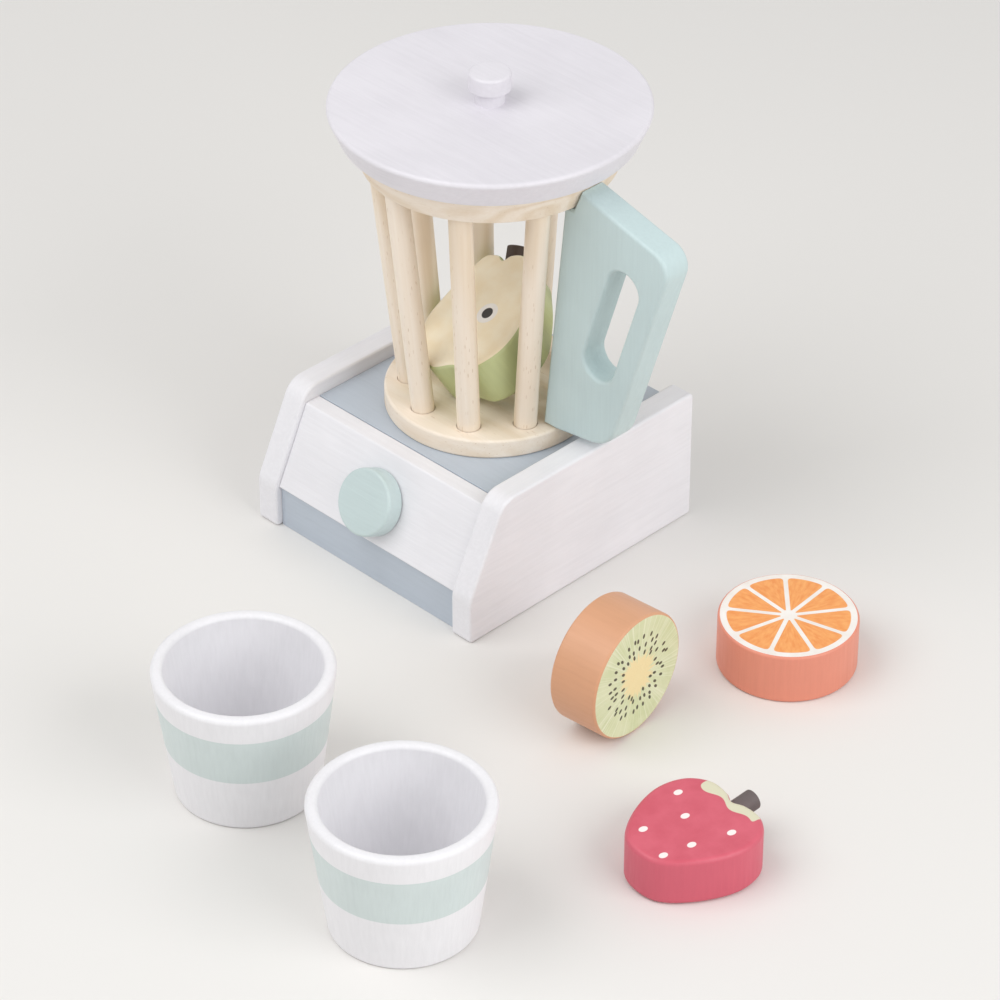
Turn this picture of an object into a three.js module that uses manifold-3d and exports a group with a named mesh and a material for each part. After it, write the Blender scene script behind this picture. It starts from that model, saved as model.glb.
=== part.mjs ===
// A wooden toy blender and its play set: a base with a dial, a caged jar with a handle and a lid,
// a pear piece in the jar, and two cups and three cut fruits beside it.
// Millimetres, Z up. The origin is the centre of the base's underside, and its front faces -Y.
import * as THREE from "three";
import Module from "manifold-3d";
import { mergeVertices } from "three/addons/utils/BufferGeometryUtils.js";

const wasm = await Module();
wasm.setup();

const radians = (degrees) => (degrees * Math.PI) / 180;

// Driving dimensions: clearances and edges
const seatGap = 0.3; // between glued pieces that are cut or turned to fit each other
const runningGap = 0.4; // between pieces that turn or lift out
const looseGap = 0.7; // round the lid's plug and the jar's boss
const cutOverrun = 2; // how far a cutter stands out of the wood
const edgeRound = 1.2; // sanded edges of boards and turned pieces
const arcSag = 0.12; // how far a larger round's flats may lie inside its arc
const settleStep = 0.02; // how finely the pear's height in the jar is found

// Driving dimensions: base
const baseWidth = 125;
const baseDepth = 128.5;
const baseHeight = 60;
const sideThickness = 11;
const sideFrontRise = 20.5; // upright part of a side's front edge
const slopeAngle = radians(25.7); // of the front, from upright
const sideFrontRound = 12;
const sideTopRound = 10;
const sideBackRound = 2.5;
const plateDrop = 6.5; // top plate below the tops of the sides
const plateThickness = 6;
const panelThickness = 7;
const panelRecess = 2;
const plinthHeight = 19;
const plinthThickness = 7;
const plinthRecess = 3;
const backThickness = 7;
const backRecess = 2;
const boardThickness = 5;
const battenWidth = 10;
const battenHeight = 10;
const battenInset = 12; // from the plinth and from the back panel
const screwInset = 14; // from a batten's end
const screwHeadRadius = 3.4;
const screwHeadRim = 0.5;
const screwConeDepth = 1.8;
const screwShankRadius = 1.7;
const screwLength = 12;
const screwSink = 0.4; // screw head above the floor

// Driving dimensions: dial
const dialRadius = 14;
const dialThickness = 8;
const dialHeight = 34; // of its centre above the floor
const dialAxleRadius = 4;
const dialAxleSocket = 5;
const dialStopRadius = 8;
const dialStopThickness = 4;

// Driving dimensions: jar, which widens and narrows with the base that it stands in
const jarSetback = 73.5; // jar's axis behind the base's front edge
const discMargin = 8; // between the jar's disc and the base's sides
const discThickness = 8.5;
const bossMargin = 19.5; // how far the boss stays inside the disc's rim
const bossHeight = 5;
const cageHeight = 107; // from the disc to the ring
const ringHeight = 12.5;
const ringOutside = 6.9; // from the dowels' axes to the ring's lower rim
const ringFlare = 5.5; // how far the ring widens upwards
const ringInside = 6.6; // from the dowels' axes to the ring's bore
const dowelCount = 9;
const dowelRadius = 4.75;
const dowelInset = 10.2; // of the dowels' axes from the disc's rim
const dowelSpread = 11.3; // how far the dowels' axes lean out
const dowelSocket = 5;
const pegRadius = 1.8;
const pegSocket = 6;

// Driving dimensions: handle, seen from the front
const handleThickness = 13;
const handleRound = 1.6;
const heelOutside = 29.5; // beyond the disc's rim
const heelRise = 4.2; // above the handle's foot
const heelRound = 16;
const shoulderOutside = 47; // beyond the ring's upper rim
const shoulderHeight = 112; // above the jar's underside
const shoulderRound = 9;
const handleRingCover = 9; // how far the handle climbs the ring's side
const gripWidth = 16;
const gripWall = 9.7; // wood outside the grip slot
const gripStart = 34.3; // slot's lower centre, along the outer edge from the heel
const gripSpan = 40.8; // between the slot's two centres

// Driving dimensions: lid
const lidMargin = 2.7; // how far the lid's lower rim stands out from the ring's
const lidFlare = 5.3; // how far the lid widens upwards
const lidThickness = 12;
const plugDepth = 5;
const knobNeckRadius = 6;
const knobNeckHeight = 5.7;
const knobHeadRadius = 8.5;
const knobHeadHeight = 7.6;
const knobPegRadius = 3;
const knobPegSocket = 6;
const plugPegSocket = 3.5;

// Driving dimensions: pear piece
const pearSideRoom = 16.8; // the pear's width short of the dowels' circle at the disc
const pearEndRoom = 8.8; // the pear's length short of the same circle
const pearThickness = 24;
const pearRise = radians(25); // of its long axis from level
const pearRoll = radians(-20); // about its long axis
const pearHeading = radians(110); // of its stem end, from +X towards +Y
const pearShift = 1.4; // of its middle from the jar's axis, towards its stem end
const sliceRound = 1.5; // edges of the pear's and the strawberry's outlines
const stemRadius = 4.1;
const stemLength = 15.5;
const stemSocket = 4.5;
const pearStemRise = radians(25); // towards the cut face
const pearStemShare = 0.6; // how far up the slice's thickness the stem goes in

// Driving dimensions: cups and fruits
const cupHeight = 56.5;
const cupTopRadius = 35.3;
const cupBottomRadius = 28;
const cupWall = 5;
const cupFloor = 6;
const cupRimRound = 2;
const cupPlaces = { cup_1: [64, -185], cup_2: [163, -198] };
const kiwiRadius = 26.5;
const kiwiThickness = 22;
const kiwiX = 136;
const kiwiY = -58.5;
const kiwiFacing = radians(5); // of its cut face, from +X
const orangeRadius = 28;
const orangeThickness = 22;
const orangeX = 158;
const orangeY = 17.5;
const berryWidth = 49;
const berryLength = 50;
const berryThickness = 20.5;
const berryX = 216;
const berryY = -103;
const berryTurn = radians(-6);
const berryStemRise = radians(8); // towards the cut face
const berryStemShare = 0.68; // how far up the slice's thickness the stem goes in

// Counts
const wideSteps = 56;
const roundSteps = 40;
const dowelSteps = 16;
const outlineSteps = 36;
const bevelSteps = 1;
const edgeSamples = 12;

// Finishes from the drawing's colours
const whitePaint = { color: 0xeeedf0, roughness: 0.45, metalness: 0 };
const sagePaint = { color: 0xa9c2be, roughness: 0.45, metalness: 0 };
const greyPaint = { color: 0x9ea9b2, roughness: 0.5, metalness: 0 };
const bareWood = { color: 0xdcc4a2, roughness: 0.65, metalness: 0 };
const pearPaint = { color: 0xa9ba72, roughness: 0.45, metalness: 0 };
const stemPaint = { color: 0x3a2f2b, roughness: 0.6, metalness: 0 };
const kiwiPaint = { color: 0xc78a66, roughness: 0.5, metalness: 0 };
const orangePaint = { color: 0xe08a58, roughness: 0.45, metalness: 0 };
const berryPaint = { color: 0xcb5a68, roughness: 0.45, metalness: 0 };
const steel = { color: 0xb8babd, roughness: 0.35, metalness: 1 };

// The points of an outline whose corners [x, y, radius] are rounded, a sanded edge with one flat and
// a larger round with several. An open outline keeps its two ends.
function softened(corners, open = false) {
  const count = corners.length;
  const points = [];
  corners.forEach(([x, y, radius = 0], i) => {
    const corner = new THREE.Vector2(x, y);
    if (radius === 0 || (open && (i === 0 || i === count - 1))) {
      points.push(corner);
      return;
    }
    const [before, after] = [corners[(i + count - 1) % count], corners[(i + 1) % count]];
    const back = new THREE.Vector2(before[0], before[1]).sub(corner).normalize();
    const ahead = new THREE.Vector2(after[0], after[1]).sub(corner).normalize();
    const half = Math.acos(back.dot(ahead)) / 2;
    const centre = back.clone().add(ahead).setLength(radius / Math.sin(half)).add(corner);
    const first = back.clone().multiplyScalar(radius / Math.tan(half)).add(corner).sub(centre);
    const last = ahead.clone().multiplyScalar(radius / Math.tan(half)).add(corner).sub(centre);
    const sweep = Math.atan2(first.cross(last), first.dot(last));
    const flats = Math.ceil(Math.abs(sweep) / (2 * Math.acos(1 - arcSag / radius)));
    const steps = radius > edgeRound ? flats : 1;
    for (let k = 0; k <= steps; k++) {
      const turn = new THREE.Vector2();
      points.push(first.clone().rotateAround(turn, (sweep * k) / steps).add(centre));
    }
  });
  return points;
}

// A piece turned about Z, from [radius, height, rounding] corners that start and end on the axis
function turned(corners, steps) {
  return new THREE.LatheGeometry(softened(corners, true), steps).rotateX(Math.PI / 2);
}

// A turned ring, from corners that go once round its section
function turnedRing(corners, steps) {
  const points = softened(corners);
  points.push(points[0].clone());
  return new THREE.LatheGeometry(points, steps).rotateX(Math.PI / 2);
}

// A straight round rod along Z
function rod(radius, from, to, steps = dowelSteps) {
  return turned([[0, from], [radius, from], [radius, to], [0, to]], steps);
}

// A board with a flat outline in XY, its thickness up from Z = 0, and its edges rounded over
function slab(shape, thickness, round) {
  return new THREE.ExtrudeGeometry(shape, {
    depth: thickness - 2 * round,
    bevelThickness: round,
    bevelSize: round,
    bevelOffset: -round,
    bevelSegments: bevelSteps,
    curveSegments: dowelSteps / 2,
  }).translate(0, 0, round);
}

// A plain board between two corners
function board([x0, y0, z0], [x1, y1, z1]) {
  const box = new THREE.BoxGeometry(x1 - x0, y1 - y0, z1 - z0);
  return box.translate((x0 + x1) / 2, (y0 + y1) / 2, (z0 + z1) / 2);
}

// A board with an outline of [depth, height] points, seen from the right, between two widths
function profileBoard(corners, x0, x1) {
  const along = new THREE.Matrix4().makeBasis(
    new THREE.Vector3(0, 1, 0),
    new THREE.Vector3(0, 0, 1),
    new THREE.Vector3(1, 0, 0),
  );
  const options = { depth: x1 - x0, bevelEnabled: false };
  const shape = new THREE.Shape(softened(corners));
  return new THREE.ExtrudeGeometry(shape, options).applyMatrix4(along).translate(x0, 0, 0);
}

// A closed geometry as a solid that can be cut
function solid(geometry) {
  const bare = geometry.clone();
  bare.deleteAttribute("normal");
  bare.deleteAttribute("uv");
  const welded = mergeVertices(bare);
  const corners = welded.index.array;
  const kept = [];
  for (let i = 0; i < corners.length; i += 3) {
    const [a, b, c] = corners.slice(i, i + 3);
    if (a !== b && b !== c && c !== a) kept.push(a, b, c);
  }
  const vertProperties = welded.attributes.position.array;
  return new wasm.Manifold(
    new wasm.Mesh({ numProp: 3, vertProperties, triVerts: new Uint32Array(kept) }),
  );
}

// A geometry with other geometries cut out of it
function cut(geometry, ...cutters) {
  let body = solid(geometry);
  for (const cutter of cutters) body = body.subtract(solid(cutter));
  const mesh = body.getMesh();
  const result = new THREE.BufferGeometry();
  result.setAttribute("position", new THREE.BufferAttribute(mesh.vertProperties, 3));
  result.setIndex(new THREE.BufferAttribute(mesh.triVerts, 1));
  result.computeVertexNormals();
  return result;
}

function piece(parent, name, geometry, finish) {
  const mesh = new THREE.Mesh(geometry, new THREE.MeshStandardMaterial(finish));
  mesh.name = name;
  parent.add(mesh);
  return mesh;
}

function groupAt(parent, x, y, z) {
  const group = new THREE.Group();
  group.position.set(x, y, z);
  parent.add(group);
  return group;
}

const toyBlender = new THREE.Group();

// Base: depths are measured back from the front edges of the two sides
const base = groupAt(toyBlender, 0, -baseDepth / 2, 0);
const innerHalf = baseWidth / 2 - sideThickness;
const discRadius = innerHalf - discMargin;
const bossRadius = discRadius - bossMargin;
const plateTop = baseHeight - plateDrop;
const slopeRun = (baseHeight - sideFrontRise) * Math.tan(slopeAngle);
const faceDepth = (height) =>
  (height - sideFrontRise) * Math.tan(slopeAngle) + panelRecess / Math.cos(slopeAngle);
const panelDepth = panelThickness / Math.cos(slopeAngle);
const plinthBack = plinthRecess + plinthThickness;
const backFace = baseDepth - backRecess;
const backInner = backFace - backThickness;
const plateFront = faceDepth(plateTop) + panelDepth;
const jarY = jarSetback - baseDepth / 2;

const sideOutline = [
  [0, 0, edgeRound],
  [0, sideFrontRise, sideFrontRound],
  [slopeRun, baseHeight, sideTopRound],
  [baseDepth, baseHeight, sideBackRound],
  [baseDepth, 0, edgeRound],
];
for (const [name, x] of [["left", -baseWidth / 2], ["right", innerHalf]]) {
  const side = slab(new THREE.Shape(softened(sideOutline)), sideThickness, edgeRound);
  side.rotateX(Math.PI / 2).rotateZ(Math.PI / 2).translate(x, 0, 0);
  piece(base, `base_side_${name}`, side, whitePaint);
}

const hole = new THREE.Path();
hole.absarc(0, jarSetback, bossRadius + looseGap, 0, 2 * Math.PI);
const plateShape = new THREE.Shape([
  new THREE.Vector2(-innerHalf, plateFront),
  new THREE.Vector2(innerHalf, plateFront),
  new THREE.Vector2(innerHalf, backFace),
  new THREE.Vector2(-innerHalf, backFace),
]);
plateShape.holes.push(hole);
const plateOptions = { depth: plateThickness, bevelEnabled: false, curveSegments: roundSteps };
const plate = new THREE.ExtrudeGeometry(plateShape, plateOptions);
piece(base, "base_top_plate", plate.translate(0, 0, plateTop - plateThickness), greyPaint);

// Front panel: it slopes with the sides, and the dial's axle goes through it
const panelOutline = [
  [faceDepth(plinthHeight), plinthHeight],
  [faceDepth(plateTop), plateTop, edgeRound],
  [plateFront, plateTop],
  [faceDepth(plinthHeight) + panelDepth, plinthHeight],
];
const dialPlace = new THREE.Vector3(0, faceDepth(dialHeight), dialHeight);
const dialTilt = Math.PI / 2 - slopeAngle;
const axleHole = rod(
  dialAxleRadius + runningGap,
  -panelThickness - cutOverrun,
  cutOverrun,
);
axleHole.rotateX(dialTilt).translate(...dialPlace.toArray());
const panel = cut(profileBoard(panelOutline, -innerHalf, innerHalf), axleHole);
piece(base, "base_front_panel", panel, whitePaint);

const plinth = board([-innerHalf, plinthRecess, 0], [innerHalf, plinthBack, plinthHeight]);
piece(base, "base_plinth", plinth, greyPaint);
const backTop = plateTop - plateThickness;
const back = board([-innerHalf, backInner, 0], [innerHalf, backFace, backTop]);
piece(base, "base_back_panel", back, whitePaint);

// A countersunk screw that points up, with its head at Z = 0. Grown, it is the hole that it sits in.
function screw(growth, lead) {
  const rim = screwHeadRim + growth;
  return turned([
    [0, -lead],
    [screwHeadRadius + growth, -lead],
    [screwHeadRadius + growth, rim],
    [screwShankRadius + growth, rim + screwConeDepth],
    [screwShankRadius + growth, screwLength - screwShankRadius],
    [0, screwLength + growth],
  ], dowelSteps);
}

// The bottom board is screwed up to a batten along each side
const battenFront = plinthBack + battenInset;
const battenBack = backInner - battenInset;
const screwPlaces = [];
for (const side of [-1, 1]) {
  for (const depth of [battenFront + screwInset, battenBack - screwInset]) {
    screwPlaces.push([side * (innerHalf - battenWidth / 2), depth, screwSink]);
  }
}
const screwHoles = screwPlaces.map((place) => screw(seatGap, cutOverrun).translate(...place));
const bottom = board([-innerHalf, plinthBack, 0], [innerHalf, backInner, boardThickness]);
piece(base, "base_bottom_board", cut(bottom, ...screwHoles), bareWood);
const battenTop = boardThickness + battenHeight;
for (const [name, x0] of [["left", -innerHalf], ["right", innerHalf - battenWidth]]) {
  const corners = [[x0, battenFront, boardThickness], [x0 + battenWidth, battenBack, battenTop]];
  piece(base, `base_batten_${name}`, cut(board(...corners), ...screwHoles), bareWood);
}
screwPlaces.forEach((place, i) => {
  piece(base, `base_screw_${i + 1}`, screw(0, 0).translate(...place), steel);
});

// Dial: a knob and a stop disc glued to an axle, square to the sloping panel
const dial = groupAt(base, ...dialPlace.toArray());
dial.rotation.x = dialTilt;
const dialFront = runningGap + dialThickness;
const stopFront = -panelThickness - runningGap;
const stopBack = stopFront - dialStopThickness;
const dialSolid = turned([
  [0, runningGap],
  [dialRadius, runningGap, edgeRound / 2],
  [dialRadius, dialFront, edgeRound],
  [0, dialFront],
], roundSteps);
const axleTop = runningGap + dialAxleSocket;
const dialSocket = rod(dialAxleRadius + seatGap, runningGap - cutOverrun, axleTop + seatGap);
piece(dial, "dial_knob", cut(dialSolid, dialSocket), sagePaint);
piece(dial, "dial_axle", rod(dialAxleRadius, stopBack, axleTop), bareWood);
const stopRing = turnedRing([
  [dialAxleRadius + seatGap, stopBack],
  [dialStopRadius, stopBack],
  [dialStopRadius, stopFront],
  [dialAxleRadius + seatGap, stopFront],
], dowelSteps * 2);
piece(dial, "dial_stop_disc", stopRing, bareWood);

// Jar: a disc and a ring joined by leaning dowels. Its heights start at its disc's underside.
const jar = groupAt(toyBlender, 0, jarY, plateTop);
const dowelCircleBottom = discRadius - dowelInset;
const dowelCircleTop = dowelCircleBottom + dowelSpread;
const ringBottomRadius = dowelCircleTop + ringOutside;
const ringTopRadius = ringBottomRadius + ringFlare;
const ringBoreRadius = dowelCircleTop - ringInside;
const ringBottom = discThickness + cageHeight;
const ringTop = ringBottom + ringHeight;
const dowelLean = Math.atan2(dowelCircleTop - dowelCircleBottom, cageHeight);
const dowelReach = cageHeight / Math.cos(dowelLean);
const dowelStep = (2 * Math.PI) / dowelCount;
const dowelMatrix = (index) =>
  new THREE.Matrix4()
    .makeRotationZ((index + 0.5) * dowelStep)
    .multiply(new THREE.Matrix4().makeTranslation(dowelCircleBottom, 0, discThickness))
    .multiply(new THREE.Matrix4().makeRotationY(dowelLean));
const dowelSockets = [];
for (let i = 0; i < dowelCount; i++) {
  const deep = dowelSocket + seatGap;
  const bore = rod(dowelRadius + seatGap, -deep, dowelReach + deep);
  dowelSockets.push(bore.applyMatrix4(dowelMatrix(i)));
  const dowelSolid = rod(dowelRadius, -dowelSocket, dowelReach + dowelSocket);
  const dowel = piece(jar, `jar_dowel_${i + 1}`, dowelSolid, bareWood);
  dowelMatrix(i).decompose(dowel.position, dowel.quaternion, dowel.scale);
}

// Pegs hold the handle: one upright in the disc, one level in the ring
const dowelSide = (circle) => circle * Math.cos(dowelStep / 2) + dowelRadius;
const footReach = dowelSide(dowelCircleBottom) + runningGap;
const throatReach = dowelSide(dowelCircleTop) + runningGap;
const footHeight = discThickness + seatGap;
const lowerPegReach = (footReach + discRadius) / 2;
const lowerPeg = (growth) =>
  rod(pegRadius + growth, footHeight - pegSocket - growth, footHeight + pegSocket + growth)
    .translate(lowerPegReach, 0, 0);
const ringSlope = (ringTopRadius - ringBottomRadius) / ringHeight;
const ringSide = (height) => ringBottomRadius + (height - ringBottom) * ringSlope;
const upperPegHeight = ringBottom + handleRingCover / 2;
const upperPegReach = ringSide(upperPegHeight);
const upperPeg = (growth) =>
  rod(pegRadius + growth, -pegSocket - growth, pegSocket + growth)
    .rotateY(Math.PI / 2)
    .translate(upperPegReach, 0, upperPegHeight);

const disc = turned([
  [0, 0],
  [discRadius, 0, edgeRound],
  [discRadius, discThickness, edgeRound],
  [0, discThickness],
], wideSteps);
piece(jar, "jar_bottom_disc", cut(disc, ...dowelSockets, lowerPeg(seatGap)), bareWood);
const boss = turned([
  [0, -bossHeight],
  [bossRadius, -bossHeight, edgeRound],
  [bossRadius, 0],
  [0, 0],
], roundSteps);
piece(jar, "jar_locating_boss", boss, bareWood);
const ring = turnedRing([
  [ringBoreRadius, ringBottom, edgeRound],
  [ringBottomRadius, ringBottom, edgeRound / 2],
  [ringTopRadius, ringTop, edgeRound / 2],
  [ringBoreRadius, ringTop, edgeRound],
], wideSteps);
piece(jar, "jar_top_ring", cut(ring, ...dowelSockets, upperPeg(seatGap)), bareWood);

// Handle: a flat board that stands on the disc and climbs the ring's tapered side
const heelReach = discRadius + heelOutside;
const shoulderReach = ringTopRadius + shoulderOutside;
const ringClear = seatGap * Math.hypot(1, ringSlope);
const handleTop = ringBottom + handleRingCover;
const handleOutline = [
  [footReach, footHeight],
  [discRadius, footHeight],
  [heelReach, footHeight + heelRise, heelRound],
  [shoulderReach, shoulderHeight, shoulderRound],
  [ringSide(handleTop) + ringClear, handleTop],
  [ringSide(ringBottom) + ringClear, ringBottom - seatGap],
  [throatReach, ringBottom - seatGap],
];
const heel = new THREE.Vector2(heelReach, footHeight + heelRise);
const outerEdge = new THREE.Vector2(shoulderReach, shoulderHeight).sub(heel).normalize();
const inward = new THREE.Vector2(-outerEdge.y, outerEdge.x);
const gripRadius = gripWidth / 2;
const gripCentre = (along) =>
  heel.clone().addScaledVector(outerEdge, along).addScaledVector(inward, gripWall + gripRadius);
const [gripLow, gripHigh] = [gripCentre(gripStart), gripCentre(gripStart + gripSpan)];
const grip = new THREE.Path();
const gripAngle = inward.angle();
grip.absarc(gripHigh.x, gripHigh.y, gripRadius, gripAngle, gripAngle - Math.PI, true);
grip.absarc(gripLow.x, gripLow.y, gripRadius, gripAngle - Math.PI, gripAngle - 2 * Math.PI, true);
grip.closePath();
const handleShape = new THREE.Shape(softened(handleOutline));
handleShape.holes.push(grip);
const handle = slab(handleShape, handleThickness, handleRound);
handle.rotateX(Math.PI / 2).translate(0, handleThickness / 2, 0);
const handleGeometry = cut(handle, lowerPeg(seatGap), upperPeg(seatGap));
piece(jar, "jar_handle", handleGeometry, sagePaint);
piece(jar, "handle_peg_lower", lowerPeg(0), bareWood);
piece(jar, "handle_peg_upper", upperPeg(0), bareWood);

// Lid: a flat tapered disc with a knob, and a plug below that drops into the ring
const lid = groupAt(jar, 0, 0, ringTop);
const lidBottomRadius = ringTopRadius + lidMargin;
const lidTopRadius = lidBottomRadius + lidFlare;
const lidSolid = turned([
  [0, 0],
  [lidBottomRadius, 0, edgeRound],
  [lidTopRadius, lidThickness, edgeRound],
  [0, lidThickness],
], wideSteps);
const pegBottom = -plugPegSocket;
const pegTop = lidThickness + knobPegSocket;
const knobPegHole = rod(knobPegRadius + seatGap, pegBottom - seatGap, pegTop + seatGap);
piece(lid, "lid_disc", cut(lidSolid, knobPegHole), whitePaint);
const plugRadius = ringBoreRadius - looseGap;
const plug = turned([
  [0, -plugDepth],
  [plugRadius, -plugDepth, edgeRound],
  [plugRadius, 0],
  [0, 0],
], wideSteps);
piece(lid, "lid_plug", cut(plug, knobPegHole), bareWood);
const neckTop = lidThickness + knobNeckHeight;
const knobTop = neckTop + knobHeadHeight;
const knob = turned([
  [0, lidThickness],
  [knobNeckRadius, lidThickness],
  [knobNeckRadius, neckTop],
  [knobHeadRadius, neckTop, edgeRound / 2],
  [knobHeadRadius, knobTop, edgeRound],
  [0, knobTop],
], roundSteps);
piece(lid, "lid_knob", cut(knob, knobPegHole), whitePaint);
piece(lid, "lid_knob_peg", rod(knobPegRadius, pegBottom, pegTop), bareWood);

// A smooth closed outline through points given as shares of a width and a length
function smoothShape(shares, width, length) {
  const knots = shares.map(([x, y]) => new THREE.Vector3(x * width, y * length, 0));
  const curve = new THREE.CatmullRomCurve3(knots, true, "centripetal");
  const points = curve.getPoints(outlineSteps).slice(0, outlineSteps);
  return new THREE.Shape(points.map((p) => new THREE.Vector2(p.x, p.y)));
}

// Mirrors the right half of an outline, whose first and last points lie on the middle line
function bothSides(half) {
  const left = half.slice(1, -1).reverse().map(([x, y]) => [-x, y]);
  return [...half, ...left];
}

// A fruit slice with a stem peg at its +Y end, lying on Z = 0 with its cut face up
function fruitSlice(parent, names, shares, width, length, thickness, finish, rise, stemShare) {
  const fruit = new THREE.Group();
  parent.add(fruit);
  const top = shares[shares.length - 1][1] * length;
  const stem = (growth) =>
    rod(stemRadius + growth, -stemSocket - growth, stemLength - stemSocket)
      .rotateX(rise - Math.PI / 2)
      .translate(0, top, thickness * stemShare);
  const flesh = slab(smoothShape(bothSides(shares), width, length), thickness, sliceRound);
  piece(fruit, names[0], cut(flesh, stem(seatGap)), finish);
  piece(fruit, names[1], stem(0), stemPaint);
  return fruit;
}

// Pear: it lies tilted in the jar with its cut face up, one edge down on the disc and its flanks
// against the leaning dowels
const pearShares = [
  [0, -0.48], [0.2, -0.5], [0.42, -0.34], [0.5, -0.1], [0.42, 0.14],
  [0.31, 0.34], [0.19, 0.49], [0.06, 0.49], [0, 0.45],
];
const pearSpot = groupAt(jar, 0, 0, 0);
pearSpot.rotation.z = pearHeading - Math.PI / 2;
const pearNames = ["pear_slice", "pear_stem"];
const pearWidth = 2 * dowelCircleBottom - pearSideRoom;
const pearLength = 2 * dowelCircleBottom - pearEndRoom;
const pear = fruitSlice(
  pearSpot, pearNames, pearShares, pearWidth, pearLength, pearThickness, pearPaint,
  pearStemRise, pearStemShare,
);
pear.rotation.set(pearRise, pearRoll, 0);
const pearMiddle = new THREE.Vector3(0, 0, pearThickness / 2).applyEuler(pear.rotation);
pear.position.set(-pearMiddle.x, pearShift - pearMiddle.y, 0);

// Points along all edges of the flesh, and the dowels' axes, both in the jar's frame
pearSpot.updateMatrix();
pear.updateMatrix();
const pearToJar = pearSpot.matrix.clone().multiply(pear.matrix);
const fleshEdges = new THREE.WireframeGeometry(pear.children[0].geometry).attributes.position;
const fleshPoints = [];
for (let i = 0; i < fleshEdges.count; i += 2) {
  const from = new THREE.Vector3().fromBufferAttribute(fleshEdges, i).applyMatrix4(pearToJar);
  const to = new THREE.Vector3().fromBufferAttribute(fleshEdges, i + 1).applyMatrix4(pearToJar);
  for (let k = 0; k < edgeSamples; k++) {
    fleshPoints.push(from.clone().lerp(to, k / edgeSamples));
  }
}
const dowelAxes = Array.from({ length: dowelCount }, (_, i) => {
  const foot = new THREE.Vector3().applyMatrix4(dowelMatrix(i));
  return new THREE.Line3(foot, new THREE.Vector3(0, 0, dowelReach).applyMatrix4(dowelMatrix(i)));
});

// The least gap from the flesh, lifted this far, to the disc and the dowels
function pearGap(lift) {
  const raised = new THREE.Vector3();
  const nearest = new THREE.Vector3();
  let gap = Infinity;
  for (const point of fleshPoints) {
    raised.copy(point).setZ(point.z + lift);
    gap = Math.min(gap, raised.z - discThickness);
    for (const axis of dowelAxes) {
      axis.closestPointToPoint(raised, true, nearest);
      gap = Math.min(gap, nearest.distanceTo(raised) - dowelRadius);
    }
  }
  return gap;
}

// The pear comes down until it is a seat gap away from the first thing that it meets
let [blockedLift, clearLift] = [0, cageHeight];
while (clearLift - blockedLift > settleStep) {
  const middle = (blockedLift + clearLift) / 2;
  if (pearGap(middle) < seatGap) blockedLift = middle;
  else clearLift = middle;
}
pear.position.z = clearLift;

// Cups: turned beakers, hollow from the rim down to a thick floor
const cupInner = (height) =>
  cupBottomRadius + ((cupTopRadius - cupBottomRadius) * height) / cupHeight - cupWall;
for (const [name, [x, y]] of Object.entries(cupPlaces)) {
  const cup = turned([
    [0, 0],
    [cupBottomRadius, 0, edgeRound],
    [cupTopRadius, cupHeight, cupRimRound],
    [cupTopRadius - cupWall, cupHeight, cupRimRound],
    [cupInner(cupFloor), cupFloor, edgeRound],
    [0, cupFloor],
  ], roundSteps);
  piece(groupAt(toyBlender, x, y, 0), name, cup, whitePaint);
}

// A round slice, lying on Z = 0
function roundSlice(radius, thickness) {
  return turned([
    [0, 0],
    [radius, 0, edgeRound],
    [radius, thickness, edgeRound],
    [0, thickness],
  ], roundSteps);
}

// Kiwi: it stands on its rim, on one of the flats that its round is made of
const kiwi = groupAt(toyBlender, kiwiX, kiwiY, kiwiRadius * Math.cos(Math.PI / roundSteps));
kiwi.rotation.z = kiwiFacing;
const kiwiSlice = roundSlice(kiwiRadius, kiwiThickness).rotateZ(Math.PI / roundSteps);
kiwiSlice.translate(0, 0, -kiwiThickness / 2).rotateY(Math.PI / 2);
piece(kiwi, "kiwi_slice", kiwiSlice, kiwiPaint);

const orange = groupAt(toyBlender, orangeX, orangeY, 0);
piece(orange, "orange_slice", roundSlice(orangeRadius, orangeThickness), orangePaint);

// Strawberry: it lies flat, its rounded tip to the front and its stem to the back
const berryShares = [
  [0, -0.5], [0.2, -0.45], [0.4, -0.2], [0.5, 0.12], [0.44, 0.36],
  [0.28, 0.48], [0.1, 0.48], [0, 0.44],
];
const berrySpot = groupAt(toyBlender, berryX, berryY, 0);
berrySpot.rotation.z = berryTurn;
const berryNames = ["strawberry_slice", "strawberry_stem"];
fruitSlice(
  berrySpot, berryNames, berryShares, berryWidth, berryLength, berryThickness, berryPaint,
  berryStemRise, berryStemShare,
);

export default toyBlender;
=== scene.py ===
import math

import bmesh
import bpy
from mathutils import Matrix, Vector


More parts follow.
